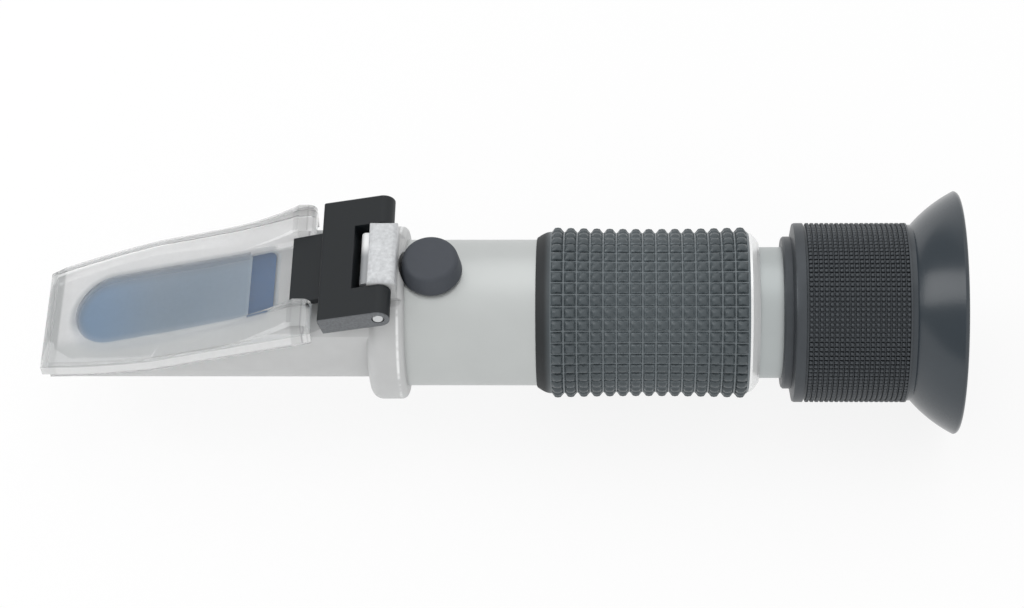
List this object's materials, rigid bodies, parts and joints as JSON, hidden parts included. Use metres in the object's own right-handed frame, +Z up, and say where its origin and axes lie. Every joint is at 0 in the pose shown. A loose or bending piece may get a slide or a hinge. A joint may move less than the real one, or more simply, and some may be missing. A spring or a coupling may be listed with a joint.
{
  "type": "antifreeze refractometer",
  "caption": "Hand-held refractometer with a slanted measuring prism under a hinged clear daylight plate, a studded rubber grip, a knurled focus ring and a flared eyecup.",
  "frame": {"origin": "on the optical axis, at the middle of the whole length, which is the middle of the bounding box", "axes": "+X along the optical axis from the prism to the eyecup, +Z up, to the side where the cover opens, and +Y to the left of someone who looks through the eyepiece"},
  "size_m": [0.1567, 0.0414, 0.0414],
  "materials": {
    "cast_housing": "satin grey coat on a die casting",
    "tube_metal": "satin anodised",
    "prism_glass": "polished",
    "seal_rubber": "matt",
    "clear_plate": "clear acrylic with a frosted pad",
    "black_bracket": "moulded, fine grain",
    "pin_steel": "ground",
    "brass": "turned",
    "cap_rubber": "matt",
    "grip_rubber": "moulded studs, satin",
    "end_ring_metal": "bright",
    "eyepiece_metal": "satin anodised",
    "black_metal": "black anodised",
    "eyecup_rubber": "smooth, satin",
    "lens_glass": "polished"
  },
  "bodies": {
    "instrument_body": {"prism_housing": "cast_housing", "measuring_prism": "prism_glass", "prism_seal": "seal_rubber", "hinge_pin": "pin_steel", "body_tube": "tube_metal", "screw_bushing": "brass", "reticle_holder": "black_metal", "reticle": "lens_glass", "reticle_retainer": "black_metal", "guide_sleeve": "black_metal", "rubber_grip": "grip_rubber", "grip_end_ring": "end_ring_metal"},
    "cover": {"daylight_plate": "clear_plate", "hinge_bracket": "black_bracket"},
    "cap": {"calibration_cap": "cap_rubber"},
    "captive_screw": {"calibration_screw": "brass"},
    "objective_carriage": {"lens_carriage": "black_metal", "backlash_washer": "pin_steel", "bimetal_strip": "pin_steel", "strip_rivets": "pin_steel", "objective_cell": "black_metal", "objective_lens": "lens_glass", "objective_retainer": "black_metal"},
    "eyepiece_barrel": {"lens_barrel": "black_metal", "guide_pin": "pin_steel", "barrel_circlip": "pin_steel", "field_lens": "lens_glass", "lens_spacer": "black_metal", "eye_lens": "lens_glass", "eye_lens_retainer": "black_metal"},
    "focusing_ring": {"eyepiece_tube": "eyepiece_metal", "focus_ring": "black_metal", "eyecup": "eyecup_rubber"}
  },
  "joints": [
    {"name": "cover_hinge", "type": "hinge", "parent": "instrument_body", "child": "cover", "pos_m": [-0.01895, 0, 0.01575], "axis": [0, 1, 0], "range_deg": [0, 100]},
    {"name": "cap_pull", "type": "slide", "parent": "instrument_body", "child": "cap", "axis": [0, 0, 1], "range_m": [0, 0.01]},
    {"name": "calibration_turn", "type": "hinge", "parent": "instrument_body", "child": "captive_screw", "pos_m": [-0.0107, 0, 0.0141], "axis": [0, 0, 1], "range_deg": [-289, 289]},
    {"name": "lens_shift", "type": "slide", "parent": "instrument_body", "child": "objective_carriage", "axis": [0, 0, 1], "range_m": [-0.0004, 0.0004], "deforming": ["backlash_washer"]},
    {"name": "focus_travel", "type": "slide", "parent": "instrument_body", "child": "eyepiece_barrel", "axis": [1, 0, 0], "range_m": [-0.002, 0.002]},
    {"name": "focus_turn", "type": "hinge", "parent": "eyepiece_barrel", "child": "focusing_ring", "pos_m": [0.04845, 0, 0], "axis": [1, 0, 0], "range_deg": [-180, 180]}
  ],
  "couplings": [
    {"joint": "calibration_turn", "follows": "lens_shift", "rad_per_m": -12566},
    {"joint": "focus_travel", "follows": "focus_turn", "m_per_rad": 0.0006366}
  ]
}
